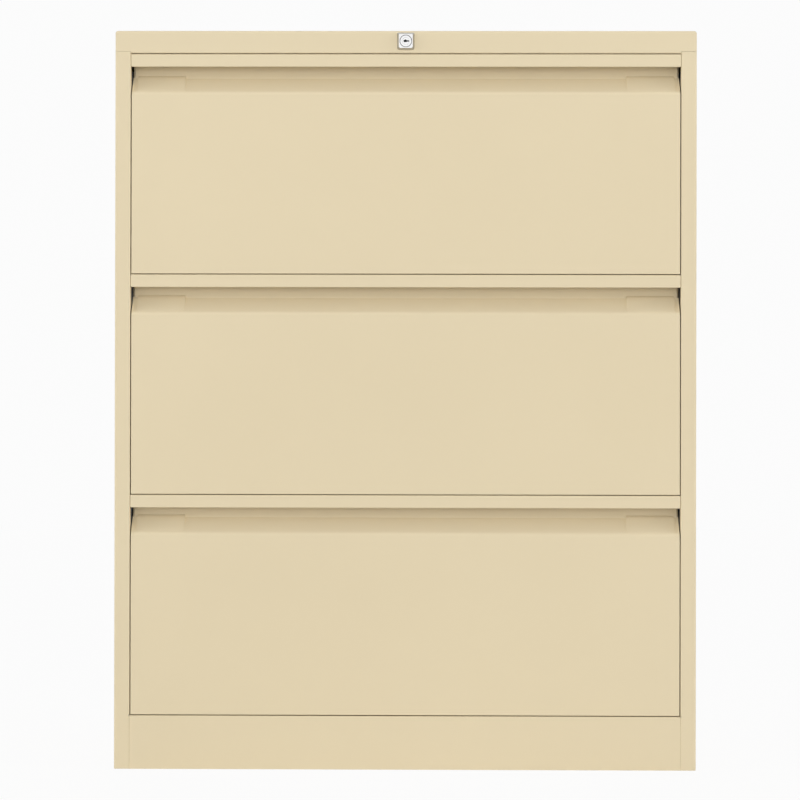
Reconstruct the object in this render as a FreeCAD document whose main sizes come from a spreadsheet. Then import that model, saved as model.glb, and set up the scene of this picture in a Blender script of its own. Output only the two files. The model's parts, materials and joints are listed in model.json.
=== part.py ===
import FreeCAD, Part
import os
import re

import Sketcher

# A three-drawer side filing cabinet of folded sheet steel, shut and unlocked.
# +X is to the right, the drawer fronts face -Y and +Z is up. The origin is on the
# floor below the middle. In every formula Y is counted back from the plane of the
# carcass front, and in a drawer's pieces Z is counted from the drawer's top edge.

sizes = {
    # Carcass, in millimetres as all lengths here
    "width": 800,
    "depth": 470,
    "height": 1016,
    "shell_sheet": 0.9,
    "lid_height": 28.4,
    "lid_lap": 1.6,
    "seam_gap": 0.25,
    "corner_radius": 3,
    "lid_radius": 3.5,
    "stile_width": 21.3,
    "stile_return": 15,
    "stile_edge": 0.85,
    "rear_flange": 15,
    "floor_flange": 20,
    "tongue_drop": 15,
    "tongue_margin": 20,
    "plinth_height": 73.6,
    "plinth_flange": 25,
    "relief_notch": 2.5,
    "base_top": 60,
    "base_skirt": 15,
    "back_low": 6,
    "rivet_head": 1.2,
    "rivet_head_radius": 4,
    "rivet_radius": 2,
    "rivet_first": 110,
    "rivet_pitch": 120,
    # Posts that carry the slides
    "post_sheet": 1.2,
    "post_face": 380.2,
    "post_front": 50,
    "post_rear": 380,
    "post_width": 40,
    "post_top": 965,
    # Drawer fronts
    "drawer_sheet": 0.8,
    "first_top": 984,
    "drawer_pitch": 303.4,
    "front_height": 302.4,
    "front_width": 754.8,
    "lip_width": 756.4,
    "lip_drop": 17.6,
    "lip_hem": 8,
    "lip_bend": 2,
    "lip_corner": 1.5,
    "recess_depth": 26,
    "recess_drop": 31.6,
    "recess_inset": 2.5,
    "slope_angle": 50,
    "slope_bend": 8,
    "front_flange": 18,
    "front_edge": 0.75,
    "handle_plate_width": 66,
    "handle_plate_inset": 7,
    "handle_plate_thick": 2.8,
    "handle_plate_edge": 0.4,
    # Drawer boxes
    "liner_back": 34,
    "tray_half": 366.4,
    "tray_back": 450,
    "tray_drop": 40,
    "tray_height": 240,
    "tray_hem": 8,
    "rail_spacing": 385,
    "rail_thick": 1.5,
    "rail_height": 12,
    "buffer_radius": 6,
    "buffer_gap": 0.5,
    # Telescopic slides, counted inwards from the post face
    "slide_drop": 175,
    "slide_front": 40,
    "slide_length": 410,
    "slide_half": 23,
    "slide_sheet": 1.2,
    "outer_reach": 10,
    "middle_start": 2.2,
    "middle_reach": 11,
    "middle_half": 17.2,
    "inner_start": 5,
    "inner_reach": 13.8,
    "inner_half": 12.2,
    "cage_front": 145,
    "cage_length": 195,
    "cage_sheet": 0.4,
    "cage_strip": 0.6,
    "outer_cage_start": 1.5,
    "outer_cage_reach": 9,
    "outer_ball_place": 6,
    "outer_ball_height": 19.5,
    "outer_ball_radius": 2.25,
    "inner_cage_start": 3.8,
    "inner_cage_reach": 10.5,
    "inner_ball_place": 7.6,
    "inner_ball_height": 14.1,
    "inner_ball_radius": 1.85,
    "ball_room": 0.1,
    "ball_pitch": 34,
    "screw_front": 70,
    "screw_rear": 400,
    "screw_head_radius": 3.6,
    "screw_radius": 2,
    "screw_length": 7,
    # Lock in the lid
    "lock_height": 1001.4,
    "lock_stand": 5,
    "bezel_half": 12,
    "bezel_chamfer": 1.5,
    "bezel_corner": 3,
    "ring_radius": 8.3,
    "ring_depth": 0.6,
    "plug_radius": 4.9,
    "plug_bore": 4.95,
    "plug_end": 31,
    "tail_radius": 3.4,
    "barrel_radius": 8,
    "barrel_end": 26,
    "key_left": 2.7,
    "key_step": 0.9,
    "key_right": 4.6,
    "key_height": 2.8,
    "key_slot": 1.4,
    "key_depth": 9,
    "nut_flats": 22,
    "nut_thick": 4,
    "lock_rail_half": 378.4,
    "lock_rail_sheet": 1.2,
    "lock_rail_low": 985,
    "lock_rail_high": 1012,
    "lock_rail_back": 35,
    "cam_front": 27,
    "cam_thick": 2,
    "crank_radius": 9,
    "lock_half_turn": 45,
    "pin_radius": 2,
    "slot_half": 2.4,
    # Bars and bell crank that carry the lock's turn to the drawers
    "bar_thick": 2,
    "bar_front": 32,
    "bar_low": 998,
    "bar_high": 1012,
    "bar_left": 386,
    "bar_right": 10,
    "bar_slot_depth": 6.7,
    "bell_place": 370,
    "bell_height": 984,
    "bell_front": 36.5,
    "bell_arm": 18,
    "bell_half_width": 4,
    "bell_bore": 3.05,
    "bell_pivot": 3,
    "bell_half_turn": 20.7,
    "lock_bar_left": 397,
    "lock_bar_right": 381,
    "lock_bar_front": 43,
    "lock_bar_low": 120,
    "lock_bar_high": 990,
    "lock_bar_travel": 12.73,
    "catch_pin_radius": 3,
    "catch_pin_end": 371.2,
    "catch_drop": 70,
    "catch_face": 375.6,
    "catch_sheet": 1.2,
    "catch_back": 90,
    "catch_step": 60,
    "catch_front": 35.5,
    "catch_notch_half": 5,
    # Levelling feet
    "foot_place": 358,
    "foot_inset": 50,
    "foot_rest": 1,
    "foot_pad_radius": 18,
    "foot_pad_height": 8,
    "foot_collar_flats": 14,
    "foot_collar_height": 4,
    "foot_stem_radius": 5,
    "foot_stem_top": 52,
    "foot_bore": 5.05,
    "foot_nut_flats": 17,
    "foot_nut_height": 8,
    "foot_bracket_height": 20,
    "foot_bracket_sheet": 2,
    "foot_bracket_inner": 335,
    "foot_bracket_half": 30,
    "foot_bracket_flange": 25,
}

# Formulas that several pieces share
carcass_front = "(lock_stand - depth - rivet_head) / 2"
side_top = "(height - lid_height)"
inner_side = "(width / 2 - shell_sheet)"
opening_half = "(width / 2 - stile_width)"
back_inner = "(depth - shell_sheet)"
back_face = "(depth - 2 * shell_sheet)"
slope_start = "(recess_drop + recess_depth / tan(slope_angle * 1deg))"
slope_offset = "(drawer_sheet * tan(slope_angle * 0.5deg))"
recess_back = "(recess_depth + drawer_sheet)"
bar_rest = "(crank_radius * sin(lock_half_turn * 1deg))"
bell_rest = "(bell_arm * sin(bell_half_turn * 1deg))"
catch_y = "(lock_bar_front + bar_thick / 2)"
foot_back = "(depth - foot_inset)"

document = FreeCAD.newDocument("SideFilingCabinet")
sheet = document.addObject("Spreadsheet::Sheet", "Sizes")
for row, (word, size) in enumerate(sizes.items(), start=1):
    sheet.set(f"A{row}", word)
    sheet.set(f"B{row}", str(size))
    sheet.setAlias(f"B{row}", word)
document.recompute()

pieces = []


# A formula of size names, written as an expression on the sheet
def bound(formula):
    return re.sub(
        r"[a-z_]+",
        lambda word: "Sizes." + word.group() if word.group() in sizes else word.group(),
        formula,
    )


def number(formula):
    return float(sheet.evalExpression(bound(formula)))


def drawer_top(drawer):
    return f"(first_top - {drawer - 1} * drawer_pitch)"


def piece(label, across="0", height="0", turn="0"):
    body = document.addObject("PartDesign::Body", label)
    body.Label = label
    body.setExpression("Placement.Base.x", bound(across))
    body.setExpression("Placement.Base.y", bound(carcass_front))
    body.setExpression("Placement.Base.z", bound(height))
    if turn != "0":
        body.setExpression("Placement.Rotation.Axis.x", "0")
        body.setExpression("Placement.Rotation.Axis.y", "1")
        body.setExpression("Placement.Rotation.Axis.z", "0")
        body.setExpression("Placement.Rotation.Angle", bound(turn))
    pieces.append(body)
    return body


def other_hand(source, label):
    copy = document.addObject("Part::Mirroring", label)
    copy.Label = label
    copy.Source = source
    copy.Normal = FreeCAD.Vector(1, 0, 0)
    pieces.append(copy)
    return copy


# Separate sheets or studs that are fastened together and count as one piece
def fastened(label, *parts):
    group = document.addObject("Part::Compound", label)
    group.Label = label
    group.Links = list(parts)
    for part in parts:
        pieces.remove(part)
    pieces.append(group)


def origin_plane(body, role):
    return next(plane for plane in body.Origin.OriginFeatures if plane.Role == role)


def rectangle(left, low, right, high):
    return [(left, low), (right, low), (right, high), (left, high)]


def hexagon(across, up, flats):
    return [
        (
            f"{across} + {flats} / sqrt(3) * cos({60 * corner} * 1deg)",
            f"{up} + {flats} / sqrt(3) * sin({60 * corner} * 1deg)",
        )
        for corner in range(6)
    ]


def flipped(loop):
    return [(f"-({across})", up) for across, up in loop]


def pin_point(sketch, geometry, point, across, up):
    for kind, formula in (("DistanceX", across), ("DistanceY", up)):
        constraint = Sketcher.Constraint(kind, -1, 1, geometry, point, number(formula))
        place = sketch.addConstraint(constraint)
        sketch.setExpression(f"Constraints[{place}]", bound(formula))


def draw_polygon(sketch, corners):
    points = [FreeCAD.Vector(number(across), number(up), 0) for across, up in corners]
    first = len(sketch.Geometry)
    count = len(points)
    for index in range(count):
        sketch.addGeometry(Part.LineSegment(points[index], points[(index + 1) % count]))
    for index in range(count):
        following = first + (index + 1) % count
        sketch.addConstraint(Sketcher.Constraint("Coincident", first + index, 2, following, 1))
    for index, (across, up) in enumerate(corners):
        pin_point(sketch, first + index, 1, across, up)


def draw_circle(sketch, across, up, radius):
    centre = FreeCAD.Vector(number(across), number(up), 0)
    circle = Part.Circle(centre, FreeCAD.Vector(0, 0, 1), number(radius))
    geometry = sketch.addGeometry(circle)
    pin_point(sketch, geometry, 3, across, up)
    place = sketch.addConstraint(Sketcher.Constraint("Radius", geometry, number(radius)))
    sketch.setExpression(f"Constraints[{place}]", bound(radius))


# A list is a polygon's corners, and a tuple is a circle's centre and radius
def sketch_on(body, name, plane, offset, loops):
    sketch = body.newObject("Sketcher::SketchObject", name)
    sketch.AttachmentSupport = [(origin_plane(body, plane + "_Plane"), "")]
    sketch.MapMode = "FlatFace"
    for axis, formula in zip("xyz", offset):
        if formula != "0":
            sketch.setExpression(f"AttachmentOffset.Base.{axis}", bound(formula))
    for loop in loops:
        if isinstance(loop, tuple):
            draw_circle(sketch, *loop)
        else:
            draw_polygon(sketch, loop)
    return sketch


def settle(body, feature):
    body.Tip = feature
    document.recompute()
    if feature.Shape.isNull() or not feature.isValid():
        raise ValueError(f"{body.Label}: {feature.Label} can't be made")
    return feature


# The outline is drawn on one plane and extruded from low to high across it
def plate(body, name, plane, low, high, *loops):
    backwards = plane == "XZ"
    start = f"-({low})" if backwards else low
    pad = body.newObject("PartDesign::Pad", name)
    pad.Profile = sketch_on(body, name + "_outline", plane, ("0", "0", start), loops)
    pad.setExpression("Length", bound(f"{high} - ({low})"))
    pad.Reversed = backwards
    return settle(body, pad)


def cut(body, name, plane, low, high, *loops):
    backwards = plane == "XZ"
    start = f"-({low})" if backwards else low
    before = body.Tip.Shape.Volume
    pocket = body.newObject("PartDesign::Pocket", name)
    pocket.Profile = sketch_on(body, name + "_outline", plane, ("0", "0", start), loops)
    pocket.setExpression("Length", bound(f"{high} - ({low})"))
    pocket.Reversed = not backwards
    settle(body, pocket)
    if pocket.Shape.Volume >= before:
        raise ValueError(f"{body.Label}: {name} cuts nothing")
    return pocket


def turned(body, name, plane, axis, offset, loop, kind="Revolution"):
    turning = body.newObject("PartDesign::" + kind, name)
    outline = sketch_on(body, name + "_outline", plane, offset, [loop])
    turning.Profile = outline
    turning.ReferenceAxis = (outline, [axis])
    return settle(body, turning)


def lies_at(element, place):
    box = element.BoundBox
    spans = {"x": (box.XMin, box.XMax), "y": (box.YMin, box.YMax), "z": (box.ZMin, box.ZMax)}
    return all(
        abs(end - number(formula)) < 0.01 for axis, formula in place.items() for end in spans[axis]
    )


# Each place names the coordinates that a straight edge keeps along its whole length
def rounded(body, name, radius, *places, kind="Fillet"):
    base = body.Tip
    edges = [
        f"Edge{index}"
        for index, edge in enumerate(base.Shape.Edges, start=1)
        if any(lies_at(edge, place) for place in places)
    ]
    if not edges:
        raise ValueError(f"{body.Label}: {name} finds no edge")
    feature = body.newObject("PartDesign::" + kind, name)
    feature.Base = (base, edges)
    feature.setExpression("Radius" if kind == "Fillet" else "Size", bound(radius))
    return settle(body, feature)


def hollowed(body, name, sheet_size, is_open):
    base = body.Tip
    faces = [f"Face{index}" for index, face in enumerate(base.Shape.Faces, start=1) if is_open(face)]
    skin = body.newObject("PartDesign::Thickness", name)
    skin.Base = (base, faces)
    skin.setExpression("Value", bound(sheet_size))
    skin.Reversed = True
    skin.Join = 0
    return settle(body, skin)


def both_sides(body, plane="YZ"):
    mirror = body.newObject("PartDesign::Mirrored", f"mirrored_across_{plane}")
    mirror.TransformMode = "Whole shape"
    mirror.MirrorPlane = (origin_plane(body, plane + "_Plane"), [""])
    return settle(body, mirror)


# Carcass: lid, sides, back, base, plinth and the posts for the slides
def make_lid():
    body = piece("top_panel")
    plate(body, "block", "XY", side_top, "height", rectangle("-width / 2", "0", "width / 2", "depth"))
    corners = [dict(x=x, y=y) for x in ("-width / 2", "width / 2") for y in ("0", "depth")]
    rounded(body, "corners", "corner_radius", *corners)
    rounded(body, "rim", "lid_radius", dict(z="height"))
    bottom = number(side_top)
    hollowed(body, "skin", "shell_sheet", lambda face: face.BoundBox.ZMax < bottom + 0.01)
    lap = rectangle(
        f"-{opening_half} + seam_gap",
        f"{side_top} - lid_lap",
        f"{opening_half} - seam_gap",
        f"{side_top} + corner_radius",
    )
    plate(body, "front_lap", "XZ", "0", "shell_sheet", lap)
    cut(body, "lock_hole", "XZ", "-1", "3", ("0", "lock_height", "barrel_radius"))


def make_sides():
    body = piece("left_side_panel")
    top = f"{side_top} - seam_gap"
    fold = [
        (f"-{opening_half}", "stile_return"),
        (f"-{opening_half}", "0"),
        ("-width / 2", "0"),
        ("-width / 2", "depth"),
        ("-width / 2 + rear_flange", "depth"),
        ("-width / 2 + rear_flange", back_inner),
        (f"-{inner_side}", back_inner),
        (f"-{inner_side}", "shell_sheet"),
        (f"-{opening_half} - shell_sheet", "shell_sheet"),
        (f"-{opening_half} - shell_sheet", "stile_return"),
    ]
    plate(body, "wall", "XY", "0", top, fold)
    rounded(
        body, "outer_bends", "corner_radius", dict(x="-width / 2", y="0"), dict(x="-width / 2", y="depth")
    )
    rounded(
        body,
        "inner_bends",
        "corner_radius - shell_sheet",
        dict(x=f"-{inner_side}", y="shell_sheet"),
        dict(x=f"-{inner_side}", y=back_inner),
    )
    rounded(body, "opening_edge", "stile_edge", dict(x=f"-{opening_half}", y="0"))
    floor = rectangle(
        f"-{inner_side}", "corner_radius", "-width / 2 + floor_flange", "depth - corner_radius"
    )
    plate(body, "floor_flange", "XY", "0", "shell_sheet", floor)
    tongue = rectangle(
        f"-{inner_side}", "tongue_margin", f"-{inner_side} + shell_sheet", "depth - tongue_margin"
    )
    plate(body, "tongue", "XY", f"{top} - tongue_drop", "height - 2 * corner_radius", tongue)
    notch = rectangle(
        f"-{opening_half} - relief_notch / 2",
        "plinth_height - relief_notch / 2",
        f"-{opening_half} + 1",
        "plinth_height + relief_notch / 2",
    )
    cut(body, "relief", "XZ", "-1", "relief_notch", notch)
    rivets = [("-width / 2 + rear_flange / 2", up, "rivet_radius") for up in rivet_heights()]
    cut(body, "rivet_holes", "XZ", f"{back_inner} - 1", "depth + 1", *rivets)
    other_hand(body, "right_side_panel")


def rivet_heights():
    return [f"rivet_first + {index} * rivet_pitch" for index in range(8)]


def rivet_places():
    across = "width / 2 - rear_flange / 2"
    return [(side + f"({across})", up) for side in ("-", "") for up in rivet_heights()]


def make_back():
    body = piece("back_panel")
    edge = f"{inner_side} - corner_radius"
    outline = rectangle(f"-({edge})", "back_low", edge, "height - 2 * corner_radius")
    holes = [(across, up, "rivet_radius") for across, up in rivet_places()]
    plate(body, "sheet", "XZ", back_face, back_inner, outline, *holes)


def make_rivets():
    body = piece("back_rivets")
    heads = [(across, up, "rivet_head_radius") for across, up in rivet_places()]
    shanks = [(across, up, "rivet_radius") for across, up in rivet_places()]
    plate(body, "heads", "XZ", "depth", "depth + rivet_head", *heads)
    rounded(body, "domes", "rivet_head - 0.3", dict(y="depth + rivet_head"))
    plate(body, "shanks", "XZ", f"{back_face} - 1.5", "depth", *shanks)
    plate(body, "upset_ends", "XZ", f"{back_face} - 2.5", back_face, *blind_ends())


def blind_ends():
    return [(across, up, "rivet_radius + 0.8") for across, up in rivet_places()]


def make_base():
    body = piece("base_panel")
    front = "stile_return + 1"
    rear = f"{back_face} - corner_radius"
    low = "base_top - base_skirt"
    under = "base_top - shell_sheet"
    fold = [
        (front, low),
        (front, "base_top"),
        (rear, "base_top"),
        (rear, low),
        (f"{rear} - shell_sheet", low),
        (f"{rear} - shell_sheet", under),
        (f"{front} + shell_sheet", under),
        (f"{front} + shell_sheet", low),
    ]
    plate(body, "fold", "YZ", f"-{inner_side}", inner_side, fold)


def make_plinth():
    body = piece("plinth_front")
    top = "plinth_height"
    fold = [
        ("floor_flange", "0"),
        ("0", "0"),
        ("0", top),
        ("plinth_flange", top),
        ("plinth_flange", f"{top} - shell_sheet"),
        ("shell_sheet", f"{top} - shell_sheet"),
        ("shell_sheet", "shell_sheet"),
        ("floor_flange", "shell_sheet"),
    ]
    plate(body, "fold", "YZ", f"-{opening_half}", opening_half, fold)
    rounded(body, "top_bend", "shell_sheet", dict(y="0", z=top))


def make_posts():
    body = piece("left_posts")
    for name, front in (("front_post", "post_front"), ("rear_post", "post_rear")):
        rear = f"{front} + post_width"
        fold = [
            (f"-{inner_side}", front),
            ("-post_face", front),
            ("-post_face", rear),
            (f"-{inner_side}", rear),
            (f"-{inner_side}", f"{rear} - post_sheet"),
            ("-post_face - post_sheet", f"{rear} - post_sheet"),
            ("-post_face - post_sheet", f"{front} + post_sheet"),
            (f"-{inner_side}", f"{front} + post_sheet"),
        ]
        plate(body, name, "XY", "base_top", "post_top", fold)
    holes = [(across, up, "screw_radius") for across, up in screw_places()]
    cut(body, "screw_holes", "YZ", "-post_face - 2 * post_sheet", "-post_face + 1", *holes)
    other_hand(body, "right_posts")


def screw_places():
    return [
        (back, f"{drawer_top(drawer)} - slide_drop")
        for drawer in (1, 2, 3)
        for back in ("screw_front", "screw_rear")
    ]


def make_slide_screws():
    body = piece("slide_screws")
    head = [
        ("0", "0"),
        ("0", "screw_head_radius"),
        ("slide_sheet", "screw_radius"),
        ("screw_length", "screw_radius"),
        ("screw_length", "0"),
    ]
    for index, (back, up) in enumerate(screw_places(), start=1):
        start = ("post_face - slide_sheet", back, up)
        turned(body, f"screw_{index}", "XY", "H_Axis", start, head)
    both_sides(body)


def make_buffers():
    body = piece("drawer_buffers")
    discs = [
        (across, f"{drawer_top(drawer)} - tray_drop - tray_height / 2", "buffer_radius")
        for drawer in (1, 2, 3)
        for across in ("-width / 4", "width / 4")
    ]
    plate(body, "stops", "XZ", "tray_back + buffer_gap", back_face, *discs)


# Levelling feet with their brackets and weld nuts
def foot_places():
    return [(across, back) for across in ("foot_place", "-foot_place") for back in ("foot_inset", foot_back)]


def make_foot_brackets():
    body = piece("leveller_brackets")
    low = "foot_bracket_height"
    fold = [
        (inner_side, f"{low} + foot_bracket_flange"),
        (inner_side, low),
        ("foot_bracket_inner", low),
        ("foot_bracket_inner", f"{low} + foot_bracket_sheet"),
        (f"{inner_side} - foot_bracket_sheet", f"{low} + foot_bracket_sheet"),
        (f"{inner_side} - foot_bracket_sheet", f"{low} + foot_bracket_flange"),
    ]
    for name, back in (("front", "foot_inset"), ("rear", foot_back)):
        plate(body, name, "XZ", f"{back} - foot_bracket_half", f"{back} + foot_bracket_half", fold)
    bores = [("foot_place", back, "foot_bore") for back in ("foot_inset", foot_back)]
    cut(body, "bores", "XY", f"{low} - 1", f"{low} + foot_bracket_sheet + 1", *bores)
    both_sides(body)


def make_foot_nuts():
    body = piece("leveller_nuts")
    low = "foot_bracket_height + foot_bracket_sheet"
    loops = []
    for across, back in foot_places():
        loops.append(hexagon(across, back, "foot_nut_flats"))
        loops.append((across, back, "foot_bore"))
    plate(body, "nuts", "XY", low, f"{low} + foot_nut_height", *loops)


def make_foot(label, across, back):
    body = piece(label, across=across)
    pad_top = "foot_rest + foot_pad_height"
    pad = [
        ("0", "foot_rest"),
        ("foot_pad_radius", "foot_rest"),
        ("foot_pad_radius", "foot_rest + foot_pad_height / 2"),
        ("foot_pad_radius / 2", pad_top),
        ("0", pad_top),
    ]
    turned(body, "pad", "XZ", "V_Axis", ("0", "0", f"-({back})"), pad)
    collar_top = f"{pad_top} + foot_collar_height"
    plate(body, "collar", "XY", pad_top, collar_top, hexagon("0", back, "foot_collar_flats"))
    plate(body, "stem", "XY", collar_top, "foot_stem_top", ("0", back, "foot_stem_radius"))
    rounded(body, "stem_end", "foot_stem_radius / 5", dict(z="foot_stem_top"), kind="Chamfer")


# Lock, and the bars and bell crank that carry its turn to the drawers
def make_lock_rail():
    body = piece("lock_rail")
    front = "shell_sheet"
    web = "shell_sheet + lock_rail_sheet"
    fold = [
        (front, "lock_rail_high"),
        (front, "lock_rail_low"),
        ("lock_rail_back", "lock_rail_low"),
        ("lock_rail_back", "lock_rail_low + lock_rail_sheet"),
        (web, "lock_rail_low + lock_rail_sheet"),
        (web, "lock_rail_high"),
    ]
    plate(body, "fold", "YZ", "-lock_rail_half", "lock_rail_half", fold)
    cut(body, "lock_hole", "XZ", "0", "4", ("0", "lock_height", "barrel_radius"))


def make_lock_housing():
    body = piece("lock_housing", height="lock_height")
    half = "bezel_half"
    plate(body, "bezel", "XZ", "-lock_stand", "0", rectangle(f"-{half}", f"-{half}", half, half))
    lower = [dict(x=x, z=f"-{half}") for x in (f"-{half}", half)]
    upper = [dict(x=x, z=half) for x in (f"-{half}", half)]
    rounded(body, "lower_corners", "bezel_corner", *lower)
    rounded(body, "upper_corners", "bezel_corner / 2", *upper)
    rounded(body, "face_chamfer", "bezel_chamfer", dict(y="-lock_stand"), kind="Chamfer")
    cut(body, "ring", "XZ", "-lock_stand - 1", "-lock_stand + ring_depth", ("0", "0", "ring_radius"))
    plate(body, "barrel", "XZ", "0", "barrel_end", ("0", "0", "barrel_radius"))
    cut(body, "bore", "XZ", "-lock_stand - 1", "barrel_end + 1", ("0", "0", "plug_bore"))


def make_lock_nut():
    body = piece("lock_nut", height="lock_height")
    front = "shell_sheet + lock_rail_sheet"
    ring = ("0", "0", "barrel_radius")
    plate(body, "nut", "XZ", front, f"{front} + nut_thick", hexagon("0", "0", "nut_flats"), ring)


def make_lock_plug():
    body = piece("lock_plug", height="lock_height")
    face = "-lock_stand + ring_depth"
    outline = [
        (face, "0"),
        (face, "plug_radius"),
        ("barrel_end", "plug_radius"),
        ("barrel_end", "tail_radius"),
        ("plug_end", "tail_radius"),
        ("plug_end", "0"),
    ]
    turned(body, "plug", "YZ", "H_Axis", ("0", "0", "0"), outline)
    keyway = [
        ("-key_left", "-key_height / 2"),
        ("key_step", "-key_height / 2"),
        ("key_step", "-key_slot / 2"),
        ("key_right", "-key_slot / 2"),
        ("key_right", "key_slot / 2"),
        ("key_step", "key_slot / 2"),
        ("key_step", "key_height / 2"),
        ("-key_left", "key_height / 2"),
    ]
    cut(body, "keyway", "XZ", f"{face} - 1", f"{face} + key_depth", keyway)


def make_lock_cam():
    body = piece("lock_cam", height="lock_height", turn="-lock_half_turn")
    arm = rectangle("-crank_radius / 1.5", "-crank_radius / 1.5", "crank_radius / 1.5", "crank_radius + 3")
    rear = "cam_front + cam_thick"
    plate(body, "arm", "XZ", "cam_front", rear, arm, ("0", "0", "tail_radius + 0.05"))
    corners = [
        dict(x=side + "crank_radius / 1.5", z=end)
        for side in ("-", "")
        for end in ("-crank_radius / 1.5", "crank_radius + 3")
    ]
    rounded(body, "corners", "crank_radius / 3", *corners)
    crank_end = "bar_front + bar_thick + 1.5"
    plate(body, "crank_pin", "XZ", rear, crank_end, ("0", "crank_radius", "pin_radius"))


def make_transfer_bar():
    body = piece("transfer_bar")
    outline = rectangle("-bar_left", "bar_low", "bar_right", "bar_high")
    plate(body, "bar", "XZ", "bar_front", "bar_front + bar_thick", outline)
    cam_slot = rectangle(
        f"-{bar_rest} - slot_half",
        "bar_high - bar_slot_depth",
        f"-{bar_rest} + slot_half",
        "bar_high + 1",
    )
    bell_slot = rectangle(
        f"-bell_place - {bell_rest} - slot_half",
        "bar_low - 1",
        f"-bell_place - {bell_rest} + slot_half",
        "bar_low + bar_slot_depth",
    )
    cut(body, "slots", "XZ", "bar_front - 1", "bar_front + bar_thick + 1", cam_slot, bell_slot)


def make_bell_crank():
    body = piece("bell_crank", across="-bell_place", height="bell_height", turn="-bell_half_turn")
    wide = "bell_half_width"
    tip = "bell_arm + bell_half_width"
    rear = "bell_front + bar_thick"
    arms = [
        (f"-({tip})", f"-{wide}"),
        (wide, f"-{wide}"),
        (wide, tip),
        (f"-{wide}", tip),
        (f"-{wide}", wide),
        (f"-({tip})", wide),
    ]
    plate(body, "arms", "XZ", "bell_front", rear, arms, ("0", "0", "bell_bore"))
    ends = [dict(x=f"-({tip})", z=f"-{wide}"), dict(x=f"-({tip})", z=wide)]
    ends += [dict(x=wide, z=tip), dict(x=f"-{wide}", z=tip), dict(x=wide, z=f"-{wide}")]
    rounded(body, "arm_ends", "bell_half_width - 0.5", *ends)
    plate(body, "upper_pin", "XZ", "bar_front - 1.5", "bell_front", ("0", "bell_arm", "pin_radius"))
    side_end = "lock_bar_front + bar_thick + 1.5"
    plate(body, "side_pin", "XZ", rear, side_end, ("-bell_arm", "0", "pin_radius"))


def make_crank_pivot():
    body = piece("crank_pivot", across="-bell_place")
    hanger_front = "bell_front + bar_thick + 0.5"
    skin = "height - shell_sheet"
    fold = [
        (hanger_front, "bell_height - 9"),
        (f"{hanger_front} + bar_thick", "bell_height - 9"),
        (f"{hanger_front} + bar_thick", f"{skin} - shell_sheet"),
        (f"{hanger_front} + 20", f"{skin} - shell_sheet"),
        (f"{hanger_front} + 20", skin),
        (hanger_front, skin),
    ]
    plate(body, "hanger", "YZ", "-9", "9", fold)
    stud = ("0", "bell_height", "bell_pivot")
    plate(body, "stud", "XZ", "bell_front - 0.3", hanger_front, stud)
    head = ("0", "bell_height", "bell_pivot + 1")
    plate(body, "head", "XZ", "bell_front - 1.3", "bell_front - 0.3", head)


def make_lock_bar():
    strip = piece("lock_bar_strip")
    rear = "lock_bar_front + bar_thick"
    outline = rectangle("-lock_bar_left", "lock_bar_low", "-lock_bar_right", "lock_bar_high")
    plate(strip, "bar", "XZ", "lock_bar_front", rear, outline)
    middle = f"bell_height - {bell_rest}"
    far = "-bell_place - bell_arm"
    slot = rectangle(
        f"{far} - slot_half",
        f"{middle} - slot_half",
        f"{far} + slot_half + bell_arm * (1 - cos(bell_half_turn * 1deg))",
        f"{middle} + slot_half",
    )
    cut(strip, "crank_slot", "XZ", "lock_bar_front - 1", f"{rear} + 1", slot)
    pins = [
        (catch_y, f"{drawer_top(drawer)} - catch_drop - lock_bar_travel", "catch_pin_radius")
        for drawer in (1, 2, 3)
    ]
    studs = piece("lock_bar_studs")
    plate(studs, "catch_pins", "YZ", "-lock_bar_right", "-catch_pin_end", *pins)
    fastened("lock_bar", strip, studs)


def make_bar_guides():
    body = piece("bar_guides")
    room = "0.6"
    sheet_size = "lock_rail_sheet"
    front = f"bar_front - {room}"
    rear = f"bar_front + bar_thick + {room}"
    low = "lock_rail_low + lock_rail_sheet"
    high = f"bar_high + {room}"
    bridge = [
        (f"{front} - {sheet_size}", low),
        (front, low),
        (front, high),
        (rear, high),
        (rear, low),
        (f"{rear} + {sheet_size}", low),
        (f"{rear} + {sheet_size}", f"{high} + {sheet_size}"),
        (f"{front} - {sheet_size}", f"{high} + {sheet_size}"),
    ]
    for name, across in (("left_bridge", "-250"), ("right_bridge", "-100")):
        plate(body, name, "YZ", f"{across} - 6", f"{across} + 6", bridge)
    clip = [
        (f"-{inner_side}", "post_front"),
        (f"-{inner_side}", f"lock_bar_front - {room} - {sheet_size}"),
        ("-lock_bar_left + 9", f"lock_bar_front - {room} - {sheet_size}"),
        ("-lock_bar_left + 9", f"lock_bar_front - {room}"),
        (f"-lock_bar_left - {room}", f"lock_bar_front - {room}"),
        (f"-lock_bar_left - {room}", f"lock_bar_front + bar_thick + {room}"),
        ("-lock_bar_left + 9", f"lock_bar_front + bar_thick + {room}"),
        ("-lock_bar_left + 9", "post_front"),
    ]
    for index, up in enumerate(("200", "520", "840"), start=1):
        plate(body, f"clip_{index}", "XY", f"{up} - 10", f"{up} + 10", clip)


# Telescopic slide members and ball cages, two of each for every drawer
def channel(start, reach, half, thick, opens_in):
    near, far = (start, reach) if opens_in else (reach, start)
    web = f"{near} + {thick}" if opens_in else f"{near} - {thick}"
    fold = [
        (far, half),
        (near, half),
        (near, f"-({half})"),
        (far, f"-({half})"),
        (far, f"-({half}) + {thick}"),
        (web, f"-({half}) + {thick}"),
        (web, f"{half} - {thick}"),
        (far, f"{half} - {thick}"),
    ]
    return [(f"post_face - ({inward})", up) for inward, up in fold]


def make_slide_member(label, drawer, start, reach, half, opens_in):
    body = piece(label, height=f"{drawer_top(drawer)} - slide_drop")
    rear = "slide_front + slide_length"
    outline = channel(start, reach, half, "slide_sheet", opens_in)
    plate(body, "member", "XZ", "slide_front", rear, outline)
    return body


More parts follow.
